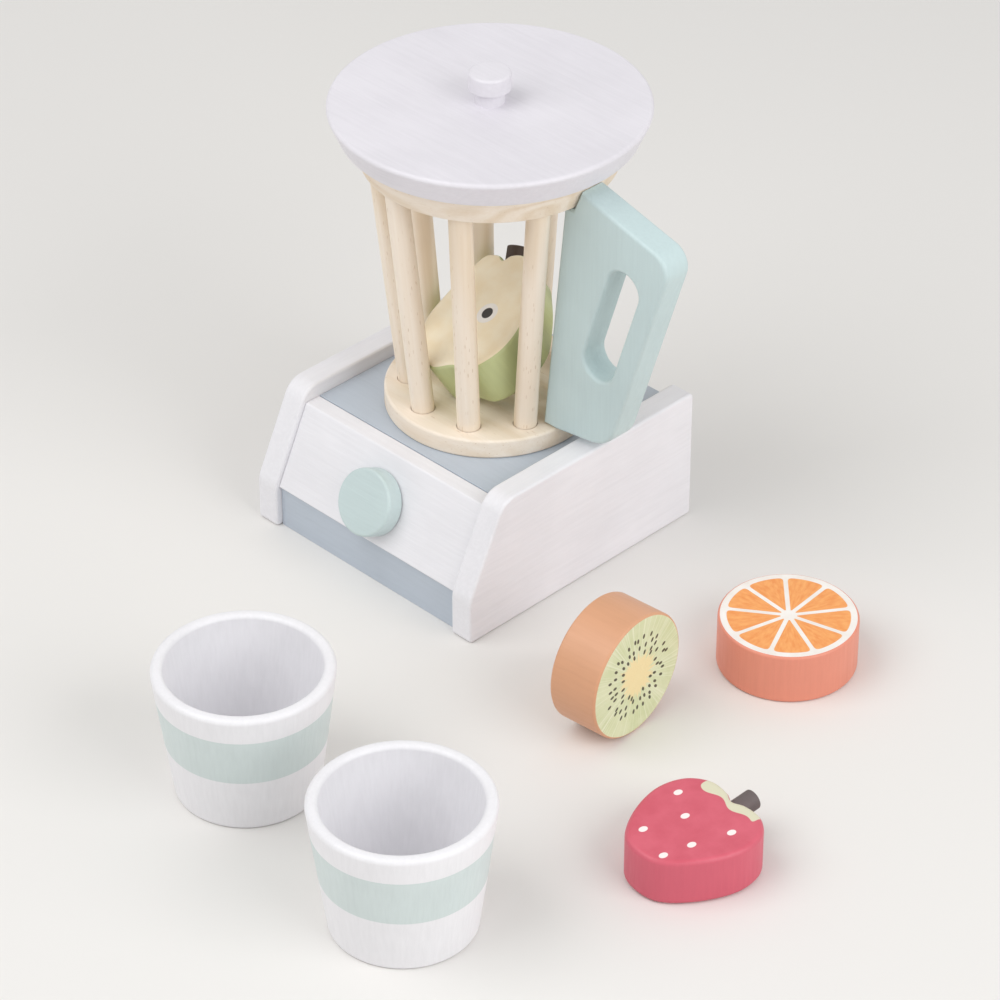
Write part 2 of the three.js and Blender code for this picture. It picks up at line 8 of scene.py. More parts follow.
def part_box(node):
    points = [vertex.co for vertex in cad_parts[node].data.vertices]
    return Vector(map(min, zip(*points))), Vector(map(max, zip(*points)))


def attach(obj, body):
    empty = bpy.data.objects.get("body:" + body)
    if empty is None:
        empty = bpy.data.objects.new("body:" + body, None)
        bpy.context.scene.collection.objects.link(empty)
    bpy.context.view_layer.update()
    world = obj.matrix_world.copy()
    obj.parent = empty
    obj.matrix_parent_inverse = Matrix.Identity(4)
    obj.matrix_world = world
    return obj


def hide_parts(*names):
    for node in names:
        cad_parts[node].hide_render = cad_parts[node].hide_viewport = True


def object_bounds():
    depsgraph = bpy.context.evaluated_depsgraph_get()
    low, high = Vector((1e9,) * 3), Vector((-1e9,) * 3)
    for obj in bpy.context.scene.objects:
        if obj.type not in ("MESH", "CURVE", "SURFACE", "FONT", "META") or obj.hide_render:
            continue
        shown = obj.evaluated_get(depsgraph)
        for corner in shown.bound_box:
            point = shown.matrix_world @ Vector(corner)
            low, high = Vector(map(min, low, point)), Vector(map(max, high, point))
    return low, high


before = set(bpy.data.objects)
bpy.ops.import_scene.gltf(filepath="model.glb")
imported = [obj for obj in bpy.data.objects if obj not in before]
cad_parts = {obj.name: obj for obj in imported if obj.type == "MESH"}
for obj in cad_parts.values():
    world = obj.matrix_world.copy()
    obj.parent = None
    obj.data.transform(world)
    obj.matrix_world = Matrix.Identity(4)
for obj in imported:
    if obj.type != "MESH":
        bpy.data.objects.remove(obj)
cad_low, cad_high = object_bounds()


# Table, light and camera: the set stands on a plain pale table in an even pale room, under two large
# soft lamps, one at the upper left and a lower one at the right. The camera looks along the diagonal of a
# cube, from far off through a long lens, so that the pieces look as they do in a flat drawing.
def colour_of(written):
    """The linear colour of a hex code"""
    shares = [int(written[i:i + 2], 16) / 255 for i in (1, 3, 5)]
    return tuple(s / 12.92 if s <= 0.04045 else ((s + 0.055) / 1.055) ** 2.4 for s in shares) + (1,)


def node(tree, kind, inputs=None, **settings):
    """One shader node, its inputs set to values or linked to other nodes' outputs"""
    made = tree.nodes.new("ShaderNode" + kind)
    for name, value in settings.items():
        setattr(made, name, value)
    for name, value in (inputs or {}).items():
        if isinstance(value, bpy.types.NodeSocket):
            tree.links.new(value, made.inputs[name])
        else:
            made.inputs[name].default_value = value
    return made


def reckon(tree, operation, *values):
    """The output of one step of arithmetic"""
    return node(tree, "Math", dict(enumerate(values)), operation=operation).outputs[0]


def new_finish(name):
    """A new material, its node tree and its surface shader"""
    finish = bpy.data.materials.new(name)
    finish.use_nodes = True
    return finish, finish.node_tree, finish.node_tree.nodes["Principled BSDF"]


def direction(azimuth, elevation):
    """The way to a point that stands at these angles from the toy's front and from the table"""
    return Vector((
        math.sin(azimuth) * math.cos(elevation), -math.cos(azimuth) * math.cos(elevation),
        math.sin(elevation),
    ))


table_size = 6.0
table_drop = 0.0001
lens_length = 150
sensor_width = 36
framed_share = 0.98
start_distance = 1.6
aiming_rounds = 20
view_azimuth = math.radians(45)
view_elevation = math.asin(1 / math.sqrt(3))
lamp_distance = 1.6
room_light = 0.56

table_finish, _, table_shader = new_finish("pale_table")
table_shader.inputs["Base Color"].default_value = colour_of("#eae8e5")
table_shader.inputs["Roughness"].default_value = 0.9
half = table_size / 2
table_mesh = bpy.data.meshes.new("table")
table_mesh.from_pydata(
    [(x, y, -table_drop) for x, y in ((-half, -half), (half, -half), (half, half), (-half, half))],
    [], [(0, 1, 2, 3)],
)
table_mesh.materials.append(table_finish)
table = bpy.data.objects.new("table", table_mesh)
bpy.context.scene.collection.objects.link(table)

room = bpy.data.worlds.new("pale_room")
room.use_nodes = True
room_tree = room.node_tree
room_tree.nodes.clear()
path = node(room_tree, "LightPath").outputs
seen = reckon(room_tree, "ADD", path["Is Camera Ray"], path["Is Glossy Ray"])
seen = reckon(room_tree, "ADD", seen, path["Is Transmission Ray"])
lit = node(room_tree, "Background", {"Color": (1, 1, 1, 1), "Strength": room_light})
shown = node(room_tree, "Background", {"Color": (1, 1, 1, 1), "Strength": 1.0})
both = node(room_tree, "MixShader", {0: seen, 1: lit.outputs[0], 2: shown.outputs[0]})
node(room_tree, "OutputWorld", {"Surface": both.outputs[0]})
bpy.context.scene.world = room
bpy.context.scene.view_settings.view_transform = "Standard"

middle = (cad_low + cad_high) / 2
for lamp_name, azimuth, elevation, size, power in (
    ("key_lamp", -25, 52, 1.3, 11.8),
    ("side_lamp", 95, 30, 1.2, 11.6),
):
    lamp = bpy.data.lights.new(lamp_name, "AREA")
    lamp.size = size
    lamp.energy = power
    holder = bpy.data.objects.new(lamp_name, lamp)
    bpy.context.scene.collection.objects.link(holder)
    towards = direction(math.radians(azimuth), math.radians(elevation))
    holder.location = middle + towards * lamp_distance
    holder.rotation_euler = (-towards).to_track_quat("-Z", "Y").to_euler()

back = direction(view_azimuth, view_elevation)
right = Vector((math.cos(view_azimuth), math.sin(view_azimuth), 0))
up = back.cross(right)
corners = []
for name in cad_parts:
    low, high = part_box(name)
    corners += [Vector((x, y, z)) for x in (low.x, high.x) for y in (low.y, high.y) for z in (low.z, high.z)]
centre = middle
distance = start_distance
# Each round centres the boxes' corners in the picture and moves the camera until they fill it
for _ in range(aiming_rounds):
    depths = [distance - (c - centre).dot(back) for c in corners]
    across = [(c - centre).dot(right) / d for c, d in zip(corners, depths)]
    upward = [(c - centre).dot(up) / d for c, d in zip(corners, depths)]
    centre = centre + right * (min(across) + max(across)) / 2 * distance
    centre = centre + up * (min(upward) + max(upward)) / 2 * distance
    spread = max(max(across) - min(across), max(upward) - min(upward)) * framed_share
    distance *= spread * lens_length / sensor_width
camera_data = bpy.data.cameras.new("camera")
camera_data.lens = lens_length
camera_data.sensor_width = sensor_width
camera = bpy.data.objects.new("camera", camera_data)
bpy.context.scene.collection.objects.link(camera)
camera.location = centre + back * distance
camera.rotation_euler = (-back).to_track_quat("-Z", "Y").to_euler()
bpy.context.scene.camera = camera


# Side boards of the base: two 11 mm boards on edge, sawn to the same outline with a sloping front,
# sanded round on every edge and painted white. The boards between them are glued to their inner faces.
def rounded(outline, closed=True, flats=6):
    """The points of an outline whose (x, y, radius) corners are rounded"""
    points = []
    count = len(outline)
    for i, (x, y, *rest) in enumerate(outline):
        radius = rest[0] if rest else 0
        corner = Vector((x, y))
        if radius == 0 or (not closed and i in (0, count - 1)):
            points.append(corner)
            continue
        before = (Vector(outline[i - 1][:2]) - corner).normalized()
        after = (Vector(outline[(i + 1) % count][:2]) - corner).normalized()
        half_angle = before.angle(after) / 2
        centre = corner + (before + after).normalized() * (radius / math.sin(half_angle))
        first = (corner + before * (radius / math.tan(half_angle)) - centre).normalized()
        last = (corner + after * (radius / math.tan(half_angle)) - centre).normalized()
        points += [centre + first.slerp(last, k / flats) * radius for k in range(flats + 1)]
    return points


def inset(loop, distance):
    """A closed loop moved to its left by a distance"""
    moved = []
    for i, point in enumerate(loop):
        ahead = (loop[(i + 1) % len(loop)] - point).normalized()
        behind = (point - loop[i - 1]).normalized()
        normals = [Vector((-d.y, d.x)) for d in (behind, ahead)]
        moved.append(point + (normals[0] + normals[1]) / (1 + normals[0].dot(normals[1])) * distance)
    return moved


def new_piece(name, mesh, *finishes):
    """An object made of a bmesh, with all its faces turned outwards"""
    mesh.normal_update()
    bmesh.ops.recalc_face_normals(mesh, faces=mesh.faces)
    data = bpy.data.meshes.new(name)
    mesh.to_mesh(data)
    mesh.free()
    for finish in finishes:
        data.materials.append(finish)
    piece = bpy.data.objects.new(name, data)
    bpy.context.scene.collection.objects.link(piece)
    return piece


def smoothed(piece, sharp=math.radians(40)):
    """Shades a piece smoothly, and keeps its flat faces flat"""
    piece.data.shade_smooth()
    piece.data.set_sharp_from_angle(angle=sharp)
    even = piece.modifiers.new("even_normals", "WEIGHTED_NORMAL")
    even.keep_sharp = True
    return piece


def board(name, loops, thickness, edge, *finishes, flats=4):
    """A flat piece in its own XY plane with its edges rounded over: an outline, and holes through it"""
    turned_loops = []
    for i, loop in enumerate(loops):
        area = sum(p.x * q.y - q.x * p.y for p, q in zip(loop, loop[1:] + loop[:1]))
        turned_loops.append(loop if (area > 0) == (i == 0) else loop[::-1])
    levels = []
    for k in range(flats + 1):
        angle = math.pi / 2 * k / flats
        levels.append((edge * (1 - math.sin(angle)), edge * (1 - math.cos(angle))))
    levels += [(gap, thickness - height) for gap, height in reversed(levels)]
    mesh = bmesh.new()
    caps = [[], []]
    for loop in turned_loops:
        rings = []
        for gap, height in levels:
            rings.append([mesh.verts.new((p.x, p.y, height)) for p in inset(loop, gap)])
        for lower, upper in zip(rings, rings[1:]):
            for k in range(len(loop)):
                n = (k + 1) % len(loop)
                mesh.faces.new((lower[k], lower[n], upper[n], upper[k]))
        caps[0].append(rings[0])
        caps[1].append(rings[-1])
    for rings in caps:
        if len(rings) == 1:
            mesh.faces.new(rings[0])
        else:
            edges = [mesh.edges.get((r[k], r[k - 1])) for r in rings for k in range(len(r))]
            bmesh.ops.triangle_fill(mesh, edges=edges, use_beauty=True)
    return new_piece(name, mesh, *finishes)


def ramp(tree, value, low, high, least=0.0, most=1.0):
    """Turns a range of values into another range, and holds what lies beyond at its ends"""
    return node(tree, "MapRange", {
        "Value": value, "From Min": low, "From Max": high, "To Min": least, "To Max": most,
    }).outputs[0]


def blended(tree, share, first, second):
    """A mixture of two colours, all of the first where the share is 0"""
    # These numbers are the colour sockets of the node, which has others for plain values
    return node(tree, "Mix", {0: share, 6: first, 7: second}, data_type="RGBA").outputs[2]


def drawn_out(tree, place, along, pitch, stretch):
    """Noise drawn out along the grain"""
    scale = [pitch] * 3
    scale[along] *= stretch
    moved = node(tree, "Mapping", {"Vector": place, "Scale": scale}).outputs[0]
    return node(tree, "TexNoise", {
        "Vector": moved, "Scale": 1.0, "Detail": 5.0, "Roughness": 0.6,
    }).outputs[0]


def raise_grain(tree, shader, fibres, strength=0.42, depth=0.0003):
    """Makes fibres stand up a little from the surface"""
    relief = node(tree, "Bump", {"Strength": strength, "Distance": depth, "Height": fibres})
    tree.links.new(relief.outputs[0], shader.inputs["Normal"])


paint_fibre_pitch = 700.0
fibre_stretch = 0.06
fibre_low = 0.3
fibre_high = 0.7
cloud_pitch = 28.0
fibre_in_coat_share = 0.7
thick_coat = 0.65
thin_coat = 1.1
thin_paint_share = 0.925
gloss_less = 0.05
gloss_more = 0.07


def painted_wood(name, colour, along=0, gloss=0.42):
    """Satin paint on sanded wood: an uneven coat, thinner on the fibres that stand up through it"""
    finish, tree, shader = new_finish(name)
    place = node(tree, "TexCoord").outputs["Object"]
    fibres = drawn_out(tree, place, along, paint_fibre_pitch, fibre_stretch)
    clouds = node(tree, "TexNoise", {"Vector": place, "Scale": cloud_pitch, "Detail": 3.0}).outputs[0]
    coat = reckon(tree, "MULTIPLY_ADD", fibres, fibre_in_coat_share, clouds)
    coat = ramp(tree, coat, thick_coat, thin_coat)
    paint = colour_of(colour)
    thin = tuple(share * thin_paint_share for share in paint[:3]) + (1,)
    tree.links.new(blended(tree, coat, paint, thin), shader.inputs["Base Color"])
    rough = ramp(tree, fibres, fibre_low, fibre_high, gloss - gloss_less, gloss + gloss_more)
    tree.links.new(rough, shader.inputs["Roughness"])
    raise_grain(tree, shader, fibres)
    return finish


base_depth = 0.1285
base_height = 0.060
side_thickness = 0.011
side_front_rise = 0.0205
slope = math.radians(25.7)
side_front_round = 0.012
side_top_round = 0.010
side_back_round = 0.0025
sanded = 0.0012
foot_corner = 0.0016
front_edge = -base_depth / 2
slope_run = (base_height - side_front_rise) * math.tan(slope)
side_outline = rounded([
    (front_edge, 0, foot_corner),
    (front_edge, side_front_rise, side_front_round),
    (front_edge + slope_run, base_height, side_top_round),
    (front_edge + base_depth, base_height, side_back_round),
    (front_edge + base_depth, 0, foot_corner),
], flats=10)
# Turns a board's own XY into the toy's YZ, with its thickness along X
on_edge = Matrix(((0, 0, 1, 0), (1, 0, 0, 0), (0, 1, 0, 0), (0, 0, 0, 1)))
white_paint = painted_wood("white_paint", "#eeedf1", along=1)
white_board_paint = painted_wood("white_board_paint", "#eeedf1", along=0)
for side in ("left", "right"):
    cad = f"base_side_{side}"
    side_board = board(f"side_board_{side}", [side_outline], side_thickness, sanded, white_paint)
    side_board.data.transform(Matrix.Translation((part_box(cad)[0].x, 0, 0)) @ on_edge)
    smoothed(side_board)
    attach(side_board, "base")
    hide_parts(cad)


# Boards between the sides: a blue-grey top board with a round hole for the jar, a white sloping front
# with a hole for the dial's axle, a blue-grey strip along the foot and a white back. All are cut square,
# sanded, painted and glued in between the sides.
def circle(x, y, radius, steps=72):
    """The points of a circle"""
    turns = [2 * math.pi * k / steps for k in range(steps)]
    return [Vector((x + radius * math.cos(a), y + radius * math.sin(a))) for a in turns]


def box_loop(low_x, low_y, high_x, high_y):
    """The corners of a rectangle"""
    return [Vector(p) for p in ((low_x, low_y), (high_x, low_y), (high_x, high_y), (low_x, high_y))]


def bored(piece, *drills):
    """Cuts other objects out of a piece and takes them away"""
    for drill in drills:
        cut = piece.modifiers.new("bore", "BOOLEAN")
        cut.operation = "DIFFERENCE"
        cut.solver = "EXACT"
        cut.object = drill
    bpy.context.view_layer.update()
    shape = piece.evaluated_get(bpy.context.evaluated_depsgraph_get())
    drilled = bpy.data.meshes.new_from_object(shape)
    piece.modifiers.clear()
    piece.data = drilled
    for drill in drills:
        bpy.data.objects.remove(drill)
    return piece


narrow_steps = 40


def drill_bit(radius, foot, tip):
    """A round cutter between two points"""
    axis = Vector(tip) - Vector(foot)
    mesh = bmesh.new()
    bmesh.ops.create_cone(
        mesh, cap_ends=True, segments=narrow_steps, radius1=radius, radius2=radius, depth=axis.length,
    )
    place = Matrix.Translation((Vector(foot) + Vector(tip)) / 2)
    mesh.transform(place @ axis.to_track_quat("Z", "Y").to_matrix().to_4x4())
    return new_piece("drill_bit", mesh)


panel_edge = 0.0005
seat_gap = 0.0003
loose_gap = 0.0007
running_gap = 0.0004
boss_radius = 0.024
jar_setback = 0.0735
jar_y = front_edge + jar_setback
grey_paint = painted_wood("grey_paint", "#bdc6d1", along=0)

low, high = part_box("base_top_plate")
plate_top = high.z
hole = circle(0, jar_y, boss_radius + loose_gap)
top_board = board("top_board", [box_loop(low.x, low.y, high.x, high.y), hole], high.z - low.z,
                  panel_edge, grey_paint)
top_board.data.transform(Matrix.Translation((0, 0, low.z)))
smoothed(top_board)
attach(top_board, "base")
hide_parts("base_top_plate")

for name, cad, finish, slot in (
    ("foot_strip", "base_plinth", grey_paint, "grey_paint"),
    ("back_board", "base_back_panel", white_board_paint, "white_paint"),
):
    low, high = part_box(cad)
    cross_board = board(name, [box_loop(low.y, low.z, high.y, high.z)], high.x - low.x, panel_edge, finish)
    cross_board.data.transform(Matrix.Translation((low.x, 0, 0)) @ on_edge)
    smoothed(cross_board)
    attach(cross_board, "base")
    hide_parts(cad)

panel_recess = 0.002
panel_corner = 0.0006
panel_thickness = 0.007
panel_depth = panel_thickness / math.cos(slope)
low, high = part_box("base_front_panel")


def face_y(height):
    """Where the sloping front's face is at a height"""
    return front_edge + (height - side_front_rise) * math.tan(slope) + panel_recess / math.cos(slope)


front_section = rounded([
    (face_y(low.z), low.z, panel_corner),
    (face_y(high.z), high.z, sanded),
    (face_y(high.z) + panel_depth, high.z, panel_corner),
    (face_y(low.z) + panel_depth, low.z, panel_corner),
], flats=5)
dial_height = 0.034
axle_radius = 0.004
bore_ahead = 0.003
bore_behind = 0.010
dial_seat = Vector((0, face_y(dial_height), dial_height))
dial_axis = Vector((0, -math.cos(slope), math.sin(slope)))
front_board = board("front_board", [front_section], high.x - low.x, panel_edge, white_board_paint)
front_board.data.transform(Matrix.Translation((low.x, 0, 0)) @ on_edge)
bored(front_board, drill_bit(
    axle_radius + running_gap, dial_seat + dial_axis * bore_ahead, dial_seat - dial_axis * bore_behind,
))
smoothed(front_board)
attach(front_board, "base")
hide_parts("base_front_panel")


# Underside: a bare board is let in between the walls and screwed up to two glued battens, so that the
# dial's axle could be reached before it was closed. The four screws are small zinc plated crossheads.
piece_to_piece = 7.0
growth_pitch = 34.0
growth_stretch = 0.10
growth_lines = 55.0
growth_low = -0.6
growth_share = 0.34
wood_fibre_pitch = 1100.0
wood_fibre_stretch = 0.03
wood_fibre_share = 0.30
streak_pitch = 240.0
streak_stretch = 0.04
streak_share = 0.55
pale_shade = 0.25
dark_shade = 0.95
fleck_pitch = 900.0
fleck_length_pitch = 150.0
fleck_edge = 0.20
fleck_core = 0.12
fleck_share = 0.45
fleck_patch_low = 0.45
fleck_patch_high = 0.6
oiled_smooth = 0.5
oiled_rough = 0.66


def bare_wood(name, along=0):
    """Sanded and oiled pale hardwood: growth lines, fine fibres and short dark flecks along the grain"""
    finish, tree, shader = new_finish(name)
    place = node(tree, "TexCoord").outputs["Object"]
    chance = node(tree, "ObjectInfo").outputs["Random"]
    shift = reckon(tree, "MULTIPLY", chance, piece_to_piece)

    def grain(across, stretch, detail):
        """Noise drawn out along the grain, and its own on every piece"""
        scale = [across] * 3
        scale[along] *= stretch
        moved = node(tree, "Mapping", {"Vector": place, "Scale": scale}).outputs[0]
        return node(tree, "TexNoise", {
            "Vector": moved, "W": shift, "Scale": 1.0, "Detail": detail, "Roughness": 0.55,
        }, noise_dimensions="4D").outputs[0]

    lines = reckon(tree, "MULTIPLY", grain(growth_pitch, growth_stretch, 1.0), growth_lines)
    growth = ramp(tree, reckon(tree, "SINE", lines), growth_low, 1.0)
    fibres = grain(wood_fibre_pitch, wood_fibre_stretch, 4.0)
    streaks = grain(streak_pitch, streak_stretch, 3.0)
    shade = reckon(tree, "MULTIPLY", growth, growth_share)
    shade = reckon(tree, "ADD", shade, reckon(tree, "MULTIPLY", streaks, streak_share))
    shade = reckon(tree, "ADD", shade, reckon(tree, "MULTIPLY", fibres, wood_fibre_share))
    shade = ramp(tree, shade, pale_shade, dark_shade)
    wood = blended(tree, shade, colour_of("#f8eddf"), colour_of("#e4d0b5"))
    scale = [fleck_pitch] * 3
    scale[along] = fleck_length_pitch
    moved = node(tree, "Mapping", {"Vector": place, "Scale": scale}).outputs[0]
    cells = node(tree, "TexVoronoi", {"Vector": moved, "Scale": 1.0, "Randomness": 1.0}).outputs[0]
    fleck = ramp(tree, cells, fleck_edge, fleck_core)
    patch = ramp(tree, streaks, fleck_patch_low, fleck_patch_high)
    fleck = reckon(tree, "MULTIPLY", reckon(tree, "MULTIPLY", fleck, patch), fleck_share)
    tree.links.new(blended(tree, fleck, wood, colour_of("#b8946a")), shader.inputs["Base Color"])
    rough = ramp(tree, fibres, fibre_low, fibre_high, oiled_smooth, oiled_rough)
    tree.links.new(rough, shader.inputs["Roughness"])
    raise_grain(tree, shader, fibres, strength=0.25, depth=0.0002)
    return finish


crisp_edge = math.radians(30)


def refinished(cad, finish):
    """Gives a CAD node that is shown as it is a finish of its own"""
    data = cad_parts[cad].data
    data.materials.clear()
    data.materials.append(finish)
    data.shade_smooth()
    data.set_sharp_from_angle(angle=crisp_edge)


wood_across = bare_wood("wood_grain_across", along=0)
wood_deep = bare_wood("wood_grain_front_to_back", along=1)
wood_upright = bare_wood("wood_grain_upright", along=2)
refinished("base_bottom_board", wood_across)
refinished("base_batten_left", wood_deep)
refinished("base_batten_right", wood_deep)

spot_pitch = 900.0
zinc_smooth = 0.25
zinc_rough = 0.45
screw_finish, tree, shader = new_finish("zinc_plate")
shader.inputs["Metallic"].default_value = 1.0
place = node(tree, "TexCoord").outputs["Object"]
spots = node(tree, "TexNoise", {"Vector": place, "Scale": spot_pitch, "Detail": 3.0}).outputs[0]
zinc = blended(tree, spots, colour_of("#c3c5c8"), colour_of("#a9abaf"))
tree.links.new(zinc, shader.inputs["Base Color"])
tree.links.new(ramp(tree, spots, 0.0, 1.0, zinc_smooth, zinc_rough), shader.inputs["Roughness"])
screw_count = 4
screw_head = 0.0034
screw_rim = 0.0005
screw_cone = 0.0018
screw_shank = 0.0017
screw_length = 0.012
thread_pitch = 0.0012
thread_relief = 0.0004
thread_root_share = 0.72
screw_tip_share = 0.7
screw_point_share = 0.08
recess_arm = 0.0019
recess_width = 0.0009
recess_depth = 0.0011
recess_edge = 0.0001


def turned(name, section, *finishes, ring=False, steps=96):
    """A piece turned about its own Z axis, from (radius, height) points. A ring's points go once round
    its section, and the others start and end on the axis."""
    mesh = bmesh.new()
    points = section if ring else section[1:-1]
    circles = []
    for radius, height in points:
        turns = [2 * math.pi * k / steps for k in range(steps)]
        circles.append([mesh.verts.new((radius * math.cos(a), radius * math.sin(a), height)) for a in turns])
    for lower, upper in zip(circles, circles[1:] + circles[:1] if ring else circles[1:]):
        for k in range(steps):
            n = (k + 1) % steps
            mesh.faces.new((lower[k], lower[n], upper[n], upper[k]))
    if not ring:
        mesh.faces.new(circles[0])
        mesh.faces.new(circles[-1])
    return new_piece(name, mesh, *finishes)


def middle_of(cad):
    """The middle of a CAD node's box"""
    low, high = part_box(cad)
    return (low + high) / 2


thread_from = screw_rim + screw_cone + thread_relief
thread_to = screw_length - screw_shank
thread_turns = int((thread_to - thread_from) / (thread_pitch / 2))
screw_section = [(0, 0), (screw_head, 0), (screw_head, screw_rim), (screw_shank, screw_rim + screw_cone)]
for k in range(thread_turns):
    root = screw_shank * (thread_root_share if k % 2 else 1)
    screw_section.append((root, thread_from + k * thread_pitch / 2))
screw_section += [
    (screw_shank * screw_tip_share, thread_to), (screw_shank * screw_point_share, screw_length),
    (0, screw_length),
]
for number in range(1, screw_count + 1):
    cad = f"base_screw_{number}"
    screw = turned(f"screw_{number}", screw_section, screw_finish, steps=36)
    arms = []
    for across, deep in ((recess_arm, recess_width / 2), (recess_width / 2, recess_arm)):
        arm = board("recess_arm", [box_loop(-across, -deep, across, deep)], recess_depth * 2, recess_edge)
        arm.data.transform(Matrix.Translation((0, 0, -recess_depth)))
        arms.append(arm)
    bored(screw, *arms)
    spot = middle_of(cad)
    screw.location = (spot.x, spot.y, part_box(cad)[0].z)
    smoothed(screw, crisp_edge)
    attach(screw, "base")
    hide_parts(cad)


# Dial: a turned knob in sage paint, glued to the end of a dowel that runs through the sloping front. A
# bare disc glued on behind the front keeps it in, so that the dial turns freely and can't be pulled out.
dial_radius = 0.014
dial_thickness = 0.008
dial_socket = 0.0053
sage_turned = painted_wood("sage_turned_paint", "#c7d7d7", along=0)
knob_back = running_gap
knob_front = running_gap + dial_thickness
dial_section = rounded([
    (0, knob_front), (dial_radius, knob_front, sanded), (dial_radius, knob_back, sanded / 2),
    (axle_radius + seat_gap, knob_back), (axle_radius + seat_gap, knob_back + dial_socket),
    (0, knob_back + dial_socket),
], closed=False)
dial = turned("dial", dial_section, sage_turned)
dial.matrix_world = Matrix.Translation(dial_seat) @ Matrix.Rotation(math.pi / 2 - slope, 4, "X")
smoothed(dial)
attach(dial, "dial")
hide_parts("dial_knob")
refinished("dial_axle", wood_deep)
refinished("dial_stop_disc", wood_across)


# Jar bottom: a thick bare disc with nine slanting sockets for the dowels and a peg hole for the handle.
# A smaller disc glued below it drops into the top board's hole and keeps the jar in its place.
jar_base = Vector((0, jar_y, plate_top))
disc_radius = 0.0435
disc_thickness = 0.0085
boss_height = 0.005
cage_height = 0.107
dowel_count = 9
dowel_radius = 0.00475
circle_bottom = 0.0333
circle_top = 0.0446
dowel_socket = 0.005
peg_radius = 0.0018
peg_socket = 0.006
dowel_lean = math.atan2(circle_top - circle_bottom, cage_height)
dowel_reach = cage_height / math.cos(dowel_lean)
half_step = math.pi / dowel_count
wide_steps = 128


def dowel_place(number):
    """Where a dowel's foot is, with its own Z axis along it"""
    turn = Matrix.Rotation((number - 0.5) * 2 * half_step, 4, "Z")
    foot = Matrix.Translation((circle_bottom, 0, disc_thickness))
    return Matrix.Translation(jar_base) @ turn @ foot @ Matrix.Rotation(dowel_lean, 4, "Y")


def dowel_drills():
    """The cutters for both ends of all dowels"""
    drills = []
    for number in range(1, dowel_count + 1):
        place = dowel_place(number)
        deep = dowel_socket + seat_gap
        foot, tip = place @ Vector((0, 0, -deep)), place @ Vector((0, 0, dowel_reach + deep))
        drills.append(drill_bit(dowel_radius + seat_gap, foot, tip))
    return drills


jar_disc_section = rounded([
    (0, 0), (disc_radius, 0, sanded), (disc_radius, disc_thickness, sanded), (0, disc_thickness),
], closed=False)
jar_disc = turned("jar_disc", jar_disc_section, wood_across, steps=wide_steps)
jar_disc.location = jar_base
low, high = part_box("handle_peg_lower")
lower_peg = (low + high) / 2
bored(jar_disc, *dowel_drills(), drill_bit(
    peg_radius + seat_gap,
    (lower_peg.x, lower_peg.y, low.z - seat_gap), (lower_peg.x, lower_peg.y, high.z + seat_gap),
))
smoothed(jar_disc)
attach(jar_disc, "jar")
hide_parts("jar_bottom_disc")

boss_section = rounded([
    (0, -boss_height), (boss_radius, -boss_height, sanded), (boss_radius, 0), (0, 0),
], closed=False)
boss = turned("jar_locating_disc", boss_section, wood_across)
boss.location = jar_base
smoothed(boss)
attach(boss, "jar")
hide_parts("jar_locating_boss")


# Dowels: nine bare round sticks that lean outwards, glued into the disc below and the ring above. They
# stand for the jar's wall, so that the fruit inside can be seen and the jar can still be filled.
dowel_section = rounded([
    (0, -dowel_socket), (dowel_radius, -dowel_socket, seat_gap),
    (dowel_radius, dowel_reach + dowel_socket, seat_gap), (0, dowel_reach + dowel_socket),
], closed=False, flats=3)
for number in range(1, dowel_count + 1):
    dowel = turned(f"dowel_{number}", dowel_section, wood_upright, steps=narrow_steps)
    dowel.matrix_world = dowel_place(number)
    smoothed(dowel)
    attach(dowel, "jar")
    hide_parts(f"jar_dowel_{number}")


# Ring: a thick bare ring with a tapering side, turned from one board, that holds the dowels' tops. Its
# bore takes the lid's plug, and is wide enough for the fruits to be dropped through.
ring_bottom = disc_thickness + cage_height
ring_height = 0.0125
ring_top = ring_bottom + ring_height
ring_bottom_radius = 0.0515
ring_top_radius = 0.057
bore_radius = 0.038
peg_inner_end, peg_outer_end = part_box("handle_peg_upper")
upper_peg = (peg_inner_end + peg_outer_end) / 2
ring_section = rounded([
    (bore_radius, ring_bottom, sanded), (ring_bottom_radius, ring_bottom, sanded / 2),
    (ring_top_radius, ring_top, sanded / 2), (bore_radius, ring_top, sanded),
])
ring = turned("jar_ring", ring_section, wood_across, ring=True, steps=wide_steps)
ring.location = jar_base
bored(ring, *dowel_drills(), drill_bit(
    peg_radius + seat_gap,
    (peg_inner_end.x - seat_gap, upper_peg.y, upper_peg.z),
    (peg_outer_end.x + seat_gap, upper_peg.y, upper_peg.z),
))
smoothed(ring)
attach(ring, "jar")
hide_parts("jar_top_ring")


# Handle: one thick board sawn out with a slot for a child's fingers, rounded over and painted sage. It
# stands on the disc between two dowels, climbs the ring's side, and is held by a hidden peg at each.
handle_thickness = 0.013
handle_round = 0.0016
heel_reach = 0.073
heel_rise = 0.0042
heel_round = 0.016
shoulder_reach = 0.104
shoulder_height = 0.112
shoulder_round = 0.009
ring_cover = 0.009
grip_radius = 0.008
grip_wall = 0.0097
grip_start = 0.0343
grip_span = 0.0408
ring_slope = (ring_top_radius - ring_bottom_radius) / ring_height
ring_clear = seat_gap * math.hypot(1, ring_slope)
foot_height = disc_thickness + seat_gap
handle_top = ring_bottom + ring_cover
heel = Vector((heel_reach, foot_height + heel_rise))
shoulder = Vector((shoulder_reach, shoulder_height))


def dowel_side(circle_radius):
    """How far out the handle's inner edge is, just past the dowels beside it"""
    return circle_radius * math.cos(half_step) + dowel_radius + running_gap


